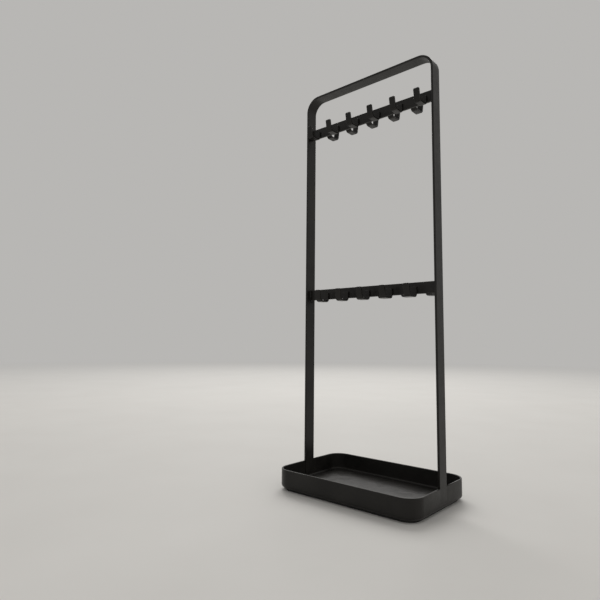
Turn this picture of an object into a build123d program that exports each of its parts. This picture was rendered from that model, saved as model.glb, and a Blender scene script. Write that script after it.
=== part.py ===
import os

from build123d import *

# A free-standing jewelry stand: a bent steel strip stands on a shallow tray and
# carries two cross bars, each with a row of flat J hooks on its front and back.
# The stand rests on a pad under the tray.
# Millimetres, +Z up, +Y to the back, origin in the middle of the pad's underside.

# Bent strip
frame_width = 140.0  # outside of one leg to the outside of the other
frame_height = 379.0  # underside of the pad to the top of the strip
frame_corner_radius = 14.0  # outside of the two upper bends
strip_width = 12.0  # front to back
strip_thickness = 2.0

# Tray, as long as the frame is wide
tray_depth = 91.0
tray_height = 16.5
tray_wall = 1.5
tray_corner_radius = 14.0
tray_edge_radius = 3.0  # outside of the rounded lower edge
leg_seat_height = 5.0  # underside of the tray to the bottom of a leg's notch

# Pad on the flat of the tray's underside
pad_thickness = 2.0
pad_inset = 3.8  # outside of the tray in to the edge of the pad

# Cross bars
upper_bar_drop = 31.9  # top of the strip to the top edge of the upper bar
bar_spacing = 164.6  # top edge of one bar to the top edge of the other
bar_height = 10.0
bar_thickness = 2.0

# J hooks
hook_width = 5.5
hook_thickness = 1.5
hook_bend_radius = 2.2  # inside of both bends
hook_reach = 12.8  # face of the bar to the outside of the upright, at its foot
hook_lean = 10.0  # degrees that the upright leans away from the bar
hook_weld_height = 6.0  # shank that lies flat on the bar
hook_tip_gap = 1.5  # top edge of the bar down to the tip
hook_tip_radius = 1.0
front_hook_drop = 2.9  # lower edge of the bar down to the underside
back_hook_drop = 1.4
hook_pitch = 23.6  # between neighbours on one face
hook_end_gap = 4.0  # least room between a hook and a leg

# Places that follow from the sizes above
leg_x = (frame_width - strip_thickness) / 2
crown_z = frame_height - strip_thickness / 2
leg_foot_z = pad_thickness + leg_seat_height
bar_length = frame_width - 2 * strip_thickness
upper_bar_top = frame_height - upper_bar_drop
lower_bar_top = upper_bar_top - bar_spacing

os.makedirs("parts", exist_ok=True)


def save(piece, label):
    """Name one finished piece and write it to its own file."""
    piece.part.label = label
    export_step(piece.part, f"parts/{label}.step")


# The strip runs up one leg, over the top and down the other leg
with BuildPart() as frame_strip:
    with BuildSketch(Plane.XZ):
        with BuildLine():
            FilletPolyline(
                (-leg_x, leg_foot_z),
                (-leg_x, crown_z),
                (leg_x, crown_z),
                (leg_x, leg_foot_z),
                radius=frame_corner_radius - strip_thickness / 2,
            )
        trace(line_width=strip_thickness)
    extrude(amount=strip_width / 2, both=True)
save(frame_strip, "frame_strip")

# Pressed tray with a notch in the middle of each end wall, flush with the legs
with BuildPart() as tray:
    with BuildSketch(Plane.XY.offset(pad_thickness)):
        RectangleRounded(frame_width, tray_depth, tray_corner_radius)
    extrude(amount=tray_height)
    fillet(tray.edges().group_by(Axis.Z)[0], tray_edge_radius)
    offset(amount=-tray_wall, openings=tray.faces().sort_by(Axis.Z)[-1])
    with Locations(
        (-frame_width / 2, 0, leg_foot_z),
        (frame_width / 2, 0, leg_foot_z),
    ):
        Box(
            2 * tray_wall,
            strip_width,
            tray_height,
            align=(Align.CENTER, Align.CENTER, Align.MIN),
            mode=Mode.SUBTRACT,
        )
save(tray, "tray")

# The pad follows the tray's outline and stays out of sight from above
with BuildPart() as base_pad:
    with BuildSketch():
        RectangleRounded(
            frame_width - 2 * pad_inset,
            tray_depth - 2 * pad_inset,
            tray_corner_radius - pad_inset,
        )
    extrude(amount=pad_thickness)
save(base_pad, "base_pad")


def make_bar(label, bar_top):
    """Flat bar between the inner faces of the two legs."""
    with BuildPart() as bar:
        with BuildSketch(Plane.XY.offset(bar_top)):
            Rectangle(bar_length, bar_thickness)
        extrude(amount=-bar_height)
    save(bar, label)


def make_hook(label, x, bar_top, side, drop):
    """J hook on the front (side -1) or the back (side 1) of a bar."""
    bar_bottom = bar_top - bar_height
    face_y = bar_thickness / 2
    shank_y = face_y + hook_thickness / 2
    foot_y = face_y + hook_reach - hook_thickness / 2
    foot_z = bar_bottom - drop + hook_thickness / 2
    upright = Vector(0, bar_top - hook_tip_gap - foot_z).rotate(Axis.Z, -hook_lean)
    with BuildPart() as hook:
        with BuildSketch(Plane.YZ.offset(x)):
            with BuildLine():
                FilletPolyline(
                    (side * shank_y, bar_bottom + hook_weld_height),
                    (side * shank_y, foot_z),
                    (side * foot_y, foot_z),
                    (side * (foot_y + upright.X), foot_z + upright.Y),
                    radius=hook_bend_radius + hook_thickness / 2,
                )
            trace(line_width=hook_thickness)
        extrude(amount=hook_width / 2, both=True)
        tip_edges = hook.faces().sort_by(Axis.Z)[-1].edges()
        fillet(tip_edges.sort_by(SortBy.LENGTH)[:2], hook_tip_radius)
    save(hook, label)


# Hooks on the two faces of a bar alternate: one face has a full row, and the
# other face has one hook in the middle of each gap
row_room = bar_length - hook_width - 2 * hook_end_gap
full_count = int(row_room // hook_pitch) + 1
full_row = [(i - (full_count - 1) / 2) * hook_pitch for i in range(full_count)]
gap_row = [x + hook_pitch / 2 for x in full_row[:-1]]

for bar_name, bar_top, front_row, back_row in (
    ("upper", upper_bar_top, full_row, gap_row),
    ("lower", lower_bar_top, gap_row, full_row),
):
    make_bar(f"{bar_name}_bar", bar_top)
    for number, x in enumerate(front_row, 1):
        make_hook(f"{bar_name}_front_hook_{number}", x, bar_top, -1, front_hook_drop)
    for number, x in enumerate(back_row, 1):
        make_hook(f"{bar_name}_back_hook_{number}", x, bar_top, 1, back_hook_drop)
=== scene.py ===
import math

import bmesh
import bpy
from mathutils import Matrix, Vector


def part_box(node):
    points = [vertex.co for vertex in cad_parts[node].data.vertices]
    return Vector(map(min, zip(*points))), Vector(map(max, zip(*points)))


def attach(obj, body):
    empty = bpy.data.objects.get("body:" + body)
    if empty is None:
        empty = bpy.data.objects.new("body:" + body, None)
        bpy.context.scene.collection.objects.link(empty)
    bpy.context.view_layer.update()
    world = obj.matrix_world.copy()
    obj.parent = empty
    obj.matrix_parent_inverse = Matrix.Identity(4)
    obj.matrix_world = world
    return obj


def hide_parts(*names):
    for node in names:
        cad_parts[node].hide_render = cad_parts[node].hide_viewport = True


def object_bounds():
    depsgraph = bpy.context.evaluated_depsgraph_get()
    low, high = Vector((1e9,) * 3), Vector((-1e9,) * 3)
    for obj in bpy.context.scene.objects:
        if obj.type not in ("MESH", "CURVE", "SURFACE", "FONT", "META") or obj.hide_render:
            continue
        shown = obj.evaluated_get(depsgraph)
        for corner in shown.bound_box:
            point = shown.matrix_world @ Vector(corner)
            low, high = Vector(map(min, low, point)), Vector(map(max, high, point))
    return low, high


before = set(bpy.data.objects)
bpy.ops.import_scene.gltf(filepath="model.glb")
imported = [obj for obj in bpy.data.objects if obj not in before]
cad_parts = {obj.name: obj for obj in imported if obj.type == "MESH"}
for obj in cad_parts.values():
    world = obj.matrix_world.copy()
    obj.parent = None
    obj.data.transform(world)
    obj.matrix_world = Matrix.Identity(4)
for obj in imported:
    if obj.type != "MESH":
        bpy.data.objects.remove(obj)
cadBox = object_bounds()
mm = 0.001
up = Vector((0, 0, 1))
back = Vector((0, 1, 0))
quarterTurn = math.pi / 2
samePlace = 0.001 * mm    # points closer than this are one
slack = 0.01 * mm         # room left when faces of the tray's wall are picked
print("frame loaded with", len(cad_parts), "nodes")


# small helpers for building a material
def addNode(tree, kind, **settings):
    made = tree.nodes.new(kind)
    for key, value in settings.items():
        setattr(made, key, value)
    return made


def newFinish(name):
    finish = bpy.data.materials.new(name)
    finish.use_nodes = True
    tree = finish.node_tree
    place = addNode(tree, "ShaderNodeTexCoord").outputs["Object"]
    return finish, tree, tree.nodes["Principled BSDF"], place


def noiseOn(tree, place, scale, detail, roughness=0.5):
    made = addNode(tree, "ShaderNodeTexNoise")
    made.inputs["Scale"].default_value = scale
    made.inputs["Detail"].default_value = detail
    made.inputs["Roughness"].default_value = roughness
    tree.links.new(place, made.inputs["Vector"])
    return made.outputs["Fac"]


def remap(tree, value, span, share=(0.0, 1.0)):
    made = addNode(tree, "ShaderNodeMapRange")
    for name, number in zip(("From Min", "From Max", "To Min", "To Max"), (*span, *share)):
        made.inputs[name].default_value = number
    tree.links.new(value, made.inputs["Value"])
    return made.outputs["Result"]


def multiply(tree, a, b):
    made = addNode(tree, "ShaderNodeMath", operation="MULTIPLY")
    tree.links.new(a, made.inputs[0])
    tree.links.new(b, made.inputs[1])
    return made.outputs[0]


def mixColour(tree, share, a, b):
    made = addNode(tree, "ShaderNodeMix", data_type="RGBA")
    tree.links.new(share, made.inputs["Factor"])
    for socket, colour in ((made.inputs[6], a), (made.inputs[7], b)):    # its two colour sockets
        if isinstance(colour, tuple):
            socket.default_value = colour
        else:
            tree.links.new(colour, socket)
    return made.outputs[2]


def bumpOn(tree, height, depth, before=None):
    made = addNode(tree, "ShaderNodeBump")
    made.inputs["Strength"].default_value = 1
    made.inputs["Distance"].default_value = depth
    tree.links.new(height, made.inputs["Height"])
    if before:
        tree.links.new(before, made.inputs["Normal"])
    return made.outputs["Normal"]


# black powder coat on all the steel
coat = {
    "darkTone": (0.0095, 0.0088, 0.008, 1),
    "lightTone": (0.0175, 0.0162, 0.0146, 1),
    "wornTone": (0.05, 0.0475, 0.044, 1),
    "dustTone": (0.13, 0.122, 0.11, 1),
    "cloud": {"scale": 38, "detail": 5, "roughness": 0.6},        # blotches of a few centimetres
    "handled": {"scale": 150, "detail": 4, "roughness": 0.62},    # rubbed patches
    "peel": {"scale": 620, "detail": 2},       # orange peel of the sprayed powder
    "grain": {"scale": 3600, "detail": 2},     # fine powder grain
    "cloudSpan": (0.35, 0.68),                 # noise from the dark to the light tone
    "rubSpan": (0.4, 0.64),                    # noise from the least to the most wear
    "rubShare": (0.15, 0.85),                  # of the worn tone along an edge
    "levelSpan": (0.7, 1.0),                   # upright part of the normal where dust settles
    "dustSpan": (0.5, 0.8),
    "dustShare": (0.0, 0.22),
    "sheenSpan": (0.3, 0.7),
    "roughness": (0.28, 0.42),
    "ior": 1.33,
    "peelDepth": 0.055 * mm,
    "grainDepth": 0.014 * mm,
}


def powderCoat():
    finish, tree, shader, place = newFinish("blackPowderCoat")
    cloud = noiseOn(tree, place, **coat["cloud"])
    handled = noiseOn(tree, place, **coat["handled"])
    peel = noiseOn(tree, place, **coat["peel"])
    grain = noiseOn(tree, place, **coat["grain"])

    # clouded black, lighter where an edge is rubbed, a breath of dust on top
    black = mixColour(tree, remap(tree, cloud, coat["cloudSpan"]), coat["darkTone"], coat["lightTone"])
    edge = addNode(tree, "ShaderNodeAttribute", attribute_name="edgeRub").outputs["Fac"]
    rubbed = multiply(tree, edge, remap(tree, handled, coat["rubSpan"], coat["rubShare"]))
    worn = mixColour(tree, rubbed, black, coat["wornTone"])
    facing = addNode(tree, "ShaderNodeSeparateXYZ")
    tree.links.new(addNode(tree, "ShaderNodeNewGeometry").outputs["Normal"], facing.inputs[0])
    level = remap(tree, facing.outputs["Z"], coat["levelSpan"])
    dust = multiply(tree, level, remap(tree, grain, coat["dustSpan"], coat["dustShare"]))
    tree.links.new(mixColour(tree, dust, worn, coat["dustTone"]), shader.inputs["Base Color"])

    # roughness follows the handling, bump the peel and the grain
    sheen = remap(tree, handled, coat["sheenSpan"], coat["roughness"])
    tree.links.new(sheen, shader.inputs["Roughness"])
    skin = bumpOn(tree, peel, coat["peelDepth"])
    tree.links.new(bumpOn(tree, grain, coat["grainDepth"], skin), shader.inputs["Normal"])
    shader.inputs["IOR"].default_value = coat["ior"]
    return finish


# matte black rubber of the pad
rubber = {
    "darkTone": (0.008, 0.008, 0.008, 1),
    "lightTone": (0.016, 0.0155, 0.015, 1),
    "cloud": {"scale": 90, "detail": 4},
    "cloudSpan": (0.35, 0.68),
    "pores": {"scale": 1900, "detail": 2},
    "poreDepth": 0.06 * mm,
    "roughness": 0.8,
}


def rubberSheet():
    finish, tree, shader, place = newFinish("blackRubber")
    cloud = remap(tree, noiseOn(tree, place, **rubber["cloud"]), rubber["cloudSpan"])
    tone = mixColour(tree, cloud, rubber["darkTone"], rubber["lightTone"])
    tree.links.new(tone, shader.inputs["Base Color"])
    shader.inputs["Roughness"].default_value = rubber["roughness"]
    pores = noiseOn(tree, place, **rubber["pores"])
    tree.links.new(bumpOn(tree, pores, rubber["poreDepth"]), shader.inputs["Normal"])
    return finish


finishes = {"black_powder_coat": powderCoat(), "black_rubber": rubberSheet()}
print("powder coat and rubber mixed")

# edges of bent and cut steel under paint
edgeFinish = {"round": 0.35 * mm, "steps": 4, "angle": math.radians(50)}


def roundEdges(bm, edges, radius=edgeFinish["round"], steps=edgeFinish["steps"]):
    made = bmesh.ops.bevel(
        bm, geom=edges, offset=radius, offset_type="OFFSET", segments=steps,
        profile=0.5, affect="EDGES", material=-1, clamp_overlap=True,
    )
    return made["faces"]


def sharpEdges(bm):
    return [e for e in bm.edges if e.is_manifold and e.calc_face_angle() > edgeFinish["angle"]]


def ringAt(bm, height):
    return [e for e in bm.edges if all(abs(v.co.z - height) < samePlace for v in e.verts)]


# the coat reads this mark and lightens rubbed edges
def markRubbed(bm, faces):
    rub = bm.verts.layers.float.new("edgeRub")
    ring = set(faces)
    for face in faces:
        for vert in face.verts:
            vert[rub] = 1.0 if all(f in ring for f in vert.link_faces) else 0.0


def addPiece(name, bm, *nodes, slot="black_powder_coat"):
    bmesh.ops.recalc_face_normals(bm, faces=bm.faces[:])
    loose = [e for e in bm.edges if not e.is_manifold]
    mesh = bpy.data.meshes.new(name)
    bm.to_mesh(mesh)
    bm.free()
    mesh.materials.append(finishes[slot])
    mesh.shade_smooth()
    piece = bpy.data.objects.new(name, mesh)
    bpy.context.scene.collection.objects.link(piece)
    even = piece.modifiers.new("evenShading", "WEIGHTED_NORMAL")
    even.keep_sharp = True
    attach(piece, "root")
    if nodes:
        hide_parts(*nodes)
    if loose:
        print("open edges on", name, len(loose))
    return piece


def faceOf(parts):
    return next(part for part in parts if isinstance(part, bmesh.types.BMFace))


# moves a face and leaves walls behind it
def pull(bm, face, move):
    made = faceOf(bmesh.ops.extrude_face_region(bm, geom=[face])["geom"])
    bmesh.ops.delete(bm, geom=[face], context="FACES_ONLY")
    bmesh.ops.translate(bm, verts=made.verts[:], vec=move)
    return made


# a strip starts as one end face, then goes straight or turns about a line
def bendStrip(section, moves, bendSteps):
    bm = bmesh.new()
    end = bm.faces.new([bm.verts.new(corner) for corner in section])
    for step in moves:
        if "go" in step:
            end = pull(bm, end, step["go"])
        else:
            end = faceOf(bmesh.ops.spin(
                bm, geom=[end, *end.edges, *end.verts], cent=step["about"], axis=step["axis"],
                angle=step["turn"], steps=bendSteps, use_merge=False,
            )["geom_last"])
    bmesh.ops.holes_fill(bm, edges=[e for e in bm.edges if e.is_boundary], sides=0)
    return bm


def blockBetween(low, high):
    bm = bmesh.new()
    place = Matrix.Translation((low + high) / 2) @ Matrix.Diagonal((*(high - low), 1))
    bmesh.ops.create_cube(bm, size=1, matrix=place)
    return bm


# bent strip: up one leg, over the top, down the other
stripShape = {"cornerRadius": 14 * mm, "bendSteps": 18}


def makeStrip():
    low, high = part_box("frame_strip")
    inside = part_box("upper_bar")[1].x    # inner face of the right leg
    radius = stripShape["cornerRadius"]
    rise = high.z - radius - low.z
    section = [(x, y, low.z) for x, y in (
        (low.x, low.y), (-inside, low.y), (-inside, high.y), (low.x, high.y))]
    bm = bendStrip(section, [
        {"go": up * rise},
        {"about": (low.x + radius, 0, high.z - radius), "axis": back, "turn": quarterTurn},
        {"go": Vector((high.x - low.x - 2 * radius, 0, 0))},
        {"about": (high.x - radius, 0, high.z - radius), "axis": back, "turn": quarterTurn},
        {"go": up * -rise},
    ], stripShape["bendSteps"])
    cut = ringAt(bm, low.z)              # the feet stay square in their notches
    markRubbed(bm, roundEdges(bm, [e for e in sharpEdges(bm) if e not in cut]))
    addPiece("bentStrip", bm, "frame_strip")


# tray: rounded block, hollowed, with a notch for each leg
trayShape = {
    "cornerRadius": 14 * mm, "cornerSteps": 16,
    "edgeRadius": 3 * mm, "edgeSteps": 6,
    "wall": 1.5 * mm,
    "innerRadius": 1.5 * mm, "innerSteps": 4,
    "rimRound": 0.45 * mm,
    "lap": 0.35 * mm,          # the weld closes the leg's rounded edges
}


def roundBlock(low, high, radius):
    bm = blockBetween(low, high)
    halfway = (high.z - low.z) / 2
    upright = [e for e in bm.edges if abs(e.verts[0].co.z - e.verts[1].co.z) > halfway]
    roundEdges(bm, upright, radius, trayShape["cornerSteps"])
    return bm


# opens one end wall above the seat and closes the notch's two flanks and its floor
def cutNotch(bm, side, halfWidth, seat, end):
    wall = end - trayShape["wall"] - slack

    def inEndWall(point, room=0):
        return side * point.x > wall and abs(point.y) < halfWidth + room and point.z > seat - room

    def onFlank(vert, hand):
        return abs(vert.co.y - hand * halfWidth) < samePlace

    gone = [f for f in bm.faces if inEndWall(f.calc_center_median())]
    bmesh.ops.delete(bm, geom=gone, context="FACES")
    rim = [e for e in bm.edges if e.is_boundary and all(inEndWall(v.co, slack) for v in e.verts)]
    corners = list(dict.fromkeys(v for e in rim for v in e.verts if abs(v.co.z - seat) < samePlace))
    for hand in (-1, 1):
        flank = [e for e in rim if all(onFlank(v, hand) for v in e.verts)]
        flank.append(bm.edges.new([v for v in corners if onFlank(v, hand)]))
        bmesh.ops.contextual_create(bm, geom=flank)
    floor = [e for e in bm.edges if e.is_boundary and all(v in corners for v in e.verts)]
    bmesh.ops.contextual_create(bm, geom=floor)


def makeTray():
    low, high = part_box("tray")
    bm = roundBlock(low, high, trayShape["cornerRadius"])
    roundEdges(bm, ringAt(bm, low.z), trayShape["edgeRadius"], trayShape["edgeSteps"])
    top = max(bm.faces, key=lambda f: f.calc_center_median().z)
    bmesh.ops.inset_region(bm, faces=[top], thickness=trayShape["wall"], use_even_offset=True)
    floor = pull(bm, top, up * (low.z + trayShape["wall"] - high.z))
    roundEdges(bm, floor.edges[:], trayShape["innerRadius"], trayShape["innerSteps"])
    rim = [e for e in ringAt(bm, high.z) if e.calc_face_angle() > edgeFinish["angle"]]
    markRubbed(bm, roundEdges(bm, rim, trayShape["rimRound"]))
    stripLow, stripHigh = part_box("frame_strip")
    halfWidth, seat = stripHigh.y - trayShape["lap"], stripLow.z
    for place, normal in ((back * halfWidth, back), (back * -halfWidth, back), (up * seat, up)):
        everything = bm.verts[:] + bm.edges[:] + bm.faces[:]
        bmesh.ops.bisect_plane(bm, geom=everything, plane_co=place, plane_no=normal, dist=samePlace / 10)
    for side in (-1, 1):
        cutNotch(bm, side, halfWidth, seat, high.x)
    addPiece("coatedTray", bm, "tray")


# pad on the flat of the underside, its outline an even inset from the tray's
padShape = {"edgeRound": 0.3 * mm, "edgeSteps": 3}


def makePad():
    low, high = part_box("base_pad")
    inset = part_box("tray")[1].x - high.x
    bm = roundBlock(low, high, trayShape["cornerRadius"] - inset)
    roundEdges(bm, ringAt(bm, low.z) + ringAt(bm, high.z), padShape["edgeRound"], padShape["edgeSteps"])
    addPiece("basePad", bm, "base_pad", slot="black_rubber")


# cross bars between the legs
def makeBar(name, node):
    bm = blockBetween(*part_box(node))
    markRubbed(bm, roundEdges(bm, sharpEdges(bm)))
    addPiece(name, bm, node)


# weld beads, front and back, where a bar meets a leg
weldShape = {
    "radius": 0.9 * mm, "reach": 0.47,    # half the bead's length, as a share of the bar's height
    "around": 24, "along": 20,
    "ripple": 0.16 * mm, "rippleScale": 1.6 * mm,
}


def makeWelds():
    bm = bmesh.new()
    radius = weldShape["radius"]
    for node in ("upper_bar", "lower_bar"):
        low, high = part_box(node)
        size = Matrix.Diagonal((radius, radius, (high.z - low.z) * weldShape["reach"], 1))
        for x in (low.x, high.x):
            for y in (low.y, high.y):
                bmesh.ops.create_uvsphere(
                    bm, u_segments=weldShape["around"], v_segments=weldShape["along"], radius=1,
                    matrix=Matrix.Translation((x, y, (low.z + high.z) / 2)) @ size)
    piece = addPiece("barWelds", bm)
    clouds = bpy.data.textures.new("weldRipple", "CLOUDS")
    clouds.noise_scale = weldShape["rippleScale"]
    uneven = piece.modifiers.new("ripple", "DISPLACE")
    uneven.texture = clouds
    uneven.strength = weldShape["ripple"]
    uneven.texture_coords = "LOCAL"


# J hooks, all bent from the same flat strip
hookShape = {
    "thick": 1.5 * mm, "bend": 2.2 * mm, "bendSteps": 9,
    "lean": math.radians(10),      # of the upright, away from the bar
    "weld": 6 * mm,                # shank that lies on the bar
    "tipRound": 1.0 * mm, "tipSteps": 5,
    "edgeRound": 0.28 * mm, "edgeSteps": 4,
}


def makeHook(name, node, side):
    low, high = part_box(node)
    near, far = sorted((abs(low.y), abs(high.y)))   # face of the bar, outside of the tip
    half, lean = hookShape["thick"] / 2, hookShape["lean"]
    middle = hookShape["bend"] + half               # bend radius of the strip's middle
    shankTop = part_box(node.split("_")[0] + "_bar")[0].z + hookShape["weld"]
    turn = quarterTurn - lean
    length = (high.z - low.z - half - half * math.sin(lean)) / math.cos(lean)
    foot = far - length * math.sin(lean) - half * math.cos(lean)
    bendIn, bendOut = near + half + middle, foot - middle * math.tan(turn / 2)
    pivotZ = low.z + half + middle
    section = [(x, side * y, shankTop) for x, y in (
        (low.x, near), (high.x, near), (high.x, near + 2 * half), (low.x, near + 2 * half))]
    axis = Vector((side, 0, 0))
    lift = Vector((0, side * math.sin(lean), math.cos(lean)))
    bm = bendStrip(section, [
        {"go": up * (pivotZ - shankTop)},
        {"about": (0, side * bendIn, pivotZ), "axis": axis, "turn": quarterTurn},
        {"go": back * side * (bendOut - bendIn)},
        {"about": (0, side * bendOut, pivotZ), "axis": axis, "turn": turn},
        {"go": lift * (length - middle * math.tan(turn / 2))},
    ], hookShape["bendSteps"])
    tip = max(bm.faces, key=lambda f: f.calc_center_median().z)
    tipCorners = sorted(tip.edges, key=lambda e: e.calc_length())[:2]
    roundEdges(bm, tipCorners, hookShape["tipRound"], hookShape["tipSteps"])
    markRubbed(bm, roundEdges(bm, sharpEdges(bm), hookShape["edgeRound"], hookShape["edgeSteps"]))
    addPiece(name, bm, node)


makeStrip()
makeTray()
makePad()
makeBar("upperBar", "upper_bar")
makeBar("lowerBar", "lower_bar")
makeWelds()
for node in sorted(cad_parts):
    if "hook" in node:
        bar, face, _, number = node.split("_")
        makeHook(f"{bar}{face.title()}Hook{number}", node, -1 if face == "front" else 1)

# soft studio light: a pale room, a large lamp high behind the stand and a weak one beside it
lightPlan = {
    "room": (0.48, 0.472, 0.458, 1),
    "roomStrength": 1.0,
    "lamps": (
        {"name": "backLight", "at": (-1.15, 1.35, 1.8), "size": 1.8,
         "watts": 30, "tone": (1.0, 0.985, 0.96)},
        {"name": "sideLight", "at": (1.5, 0.6, 0.8), "size": 1.2,
         "watts": 1.5, "tone": (1.0, 0.97, 0.92)},
    ),
}


def makeLights():
    world = bpy.data.worlds.new("paleRoom")
    world.use_nodes = True
    ground = world.node_tree.nodes["Background"]
    ground.inputs["Color"].default_value = lightPlan["room"]
    ground.inputs["Strength"].default_value = lightPlan["roomStrength"]
    bpy.context.scene.world = world
    aim = (cadBox[0] + cadBox[1]) / 2
    for lamp in lightPlan["lamps"]:
        data = bpy.data.lights.new(lamp["name"], "AREA")
        data.size = lamp["size"]
        data.energy = lamp["watts"]
        data.color = lamp["tone"]
        shone = bpy.data.objects.new(lamp["name"], data)
        shone.location = lamp["at"]
        shone.rotation_euler = (aim - shone.location).to_track_quat("-Z", "Y").to_euler()
        bpy.context.scene.collection.objects.link(shone)


# pale floor that fades into the colour of the room
floorLook = {
    "size": 8,
    "paleTone": (0.7, 0.69, 0.67, 1), "softTone": (0.675, 0.664, 0.643, 1),
    "grain": {"scale": 9, "detail": 6}, "grainSpan": (0.3, 0.7),
    "roughness": 0.7,
    "fade": (0.8, 3.0),      # metres from the stand
}


def makeFloor():
    mesh = bpy.data.meshes.new("floor")
    bm = bmesh.new()
    bmesh.ops.create_grid(bm, x_segments=1, y_segments=1, size=floorLook["size"])
    bm.to_mesh(mesh)
    bm.free()
    floor = bpy.data.objects.new("floor", mesh)
    bpy.context.scene.collection.objects.link(floor)
    finish, tree, shader, place = newFinish("paleFloor")
    tone = remap(tree, noiseOn(tree, place, **floorLook["grain"]), floorLook["grainSpan"])
    pale = mixColour(tree, tone, floorLook["paleTone"], floorLook["softTone"])
    tree.links.new(pale, shader.inputs["Base Color"])
    shader.inputs["Roughness"].default_value = floorLook["roughness"]
    away = addNode(tree, "ShaderNodeVectorMath", operation="LENGTH")
    tree.links.new(place, away.inputs[0])
    far = addNode(tree, "ShaderNodeEmission")
    far.inputs["Color"].default_value = lightPlan["room"]
    far.inputs["Strength"].default_value = lightPlan["roomStrength"]
    blend = addNode(tree, "ShaderNodeMixShader")
    tree.links.new(remap(tree, away.outputs["Value"], floorLook["fade"]), blend.inputs["Fac"])
    tree.links.new(shader.outputs[0], blend.inputs[1])
    tree.links.new(far.outputs[0], blend.inputs[2])
    tree.links.new(blend.outputs[0], tree.nodes["Material Output"].inputs["Surface"])
    mesh.materials.append(finish)


# camera where the photograph was taken from, image taken as 600 by 600
cameraPlan = {
    "at": Vector((253.35, -379.16, 131.71)) * mm,
    "turn": math.radians(41.066), "tilt": math.radians(5.683), "roll": math.radians(0.509),
    "focalPixels": 500.1, "imagePixels": 600, "centrePixel": (304.26, 291.89),
    "sensor": 36, "nearClip": 0.01,
}


def makeCamera():
    data = bpy.data.cameras.new("viewCamera")
    wide = cameraPlan["imagePixels"]
    data.sensor_width = cameraPlan["sensor"]
    data.lens = cameraPlan["focalPixels"] / wide * data.sensor_width
    data.shift_x = (wide / 2 - cameraPlan["centrePixel"][0]) / wide
    data.shift_y = (cameraPlan["centrePixel"][1] - wide / 2) / wide
    data.clip_start = cameraPlan["nearClip"]
    view = bpy.data.objects.new("viewCamera", data)
    view.matrix_world = (
        Matrix.Translation(cameraPlan["at"])
        @ Matrix.Rotation(cameraPlan["turn"], 4, "Z")
        @ Matrix.Rotation(quarterTurn + cameraPlan["tilt"], 4, "X")
        @ Matrix.Rotation(cameraPlan["roll"], 4, "Z")
    )
    bpy.context.scene.collection.objects.link(view)
    bpy.context.scene.camera = view


makeFloor()
makeLights()
makeCamera()
bpy.context.scene.view_settings.view_transform = "Standard"
print("stage, lights and camera set")
